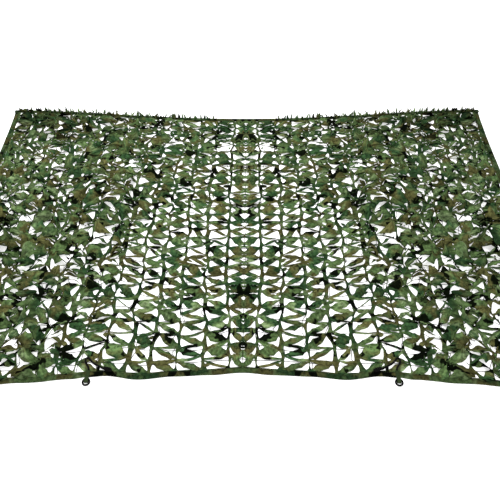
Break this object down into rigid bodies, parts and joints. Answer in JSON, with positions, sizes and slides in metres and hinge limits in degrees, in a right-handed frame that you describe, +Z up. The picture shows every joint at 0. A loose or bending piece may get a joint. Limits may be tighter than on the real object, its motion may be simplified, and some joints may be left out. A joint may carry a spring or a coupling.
{
  "type": "camouflage shade net",
  "caption": "Leaf-cut camouflage shade net spread flat, with drawn-in taped edges, hanging rings on webbing tabs and short knotted tie cords.",
  "frame": {"origin": "middle of the net's bounding box, on the ground it lies on", "axes": "+X along the front edge towards the right, +Y from the front edge with the rings towards the rear edge, +Z up from the ground"},
  "size_m": [3, 2, 0.0386],
  "materials": {
    "leaf_cloth": "thin woven polyester, woodland camouflage print",
    "binding_tape": "folded woven tape, dark camouflage print",
    "tab_webbing": "narrow olive webbing",
    "ring_steel": "black enamel, satin",
    "tie_cord": "braided black cord"
  },
  "bodies": {
    "root": {"net_panel": "leaf_cloth", "binding_front": "binding_tape", "binding_rear": "binding_tape", "binding_left": "binding_tape", "binding_right": "binding_tape", "ring_tab_left": "tab_webbing", "ring_tab_right": "tab_webbing", "ring_left": "ring_steel", "ring_right": "ring_steel", "tie_cord_left": "tie_cord", "tie_cord_right": "tie_cord", "tie_knot_left": "tie_cord", "tie_knot_right": "tie_cord"}
  },
  "joints": []
}
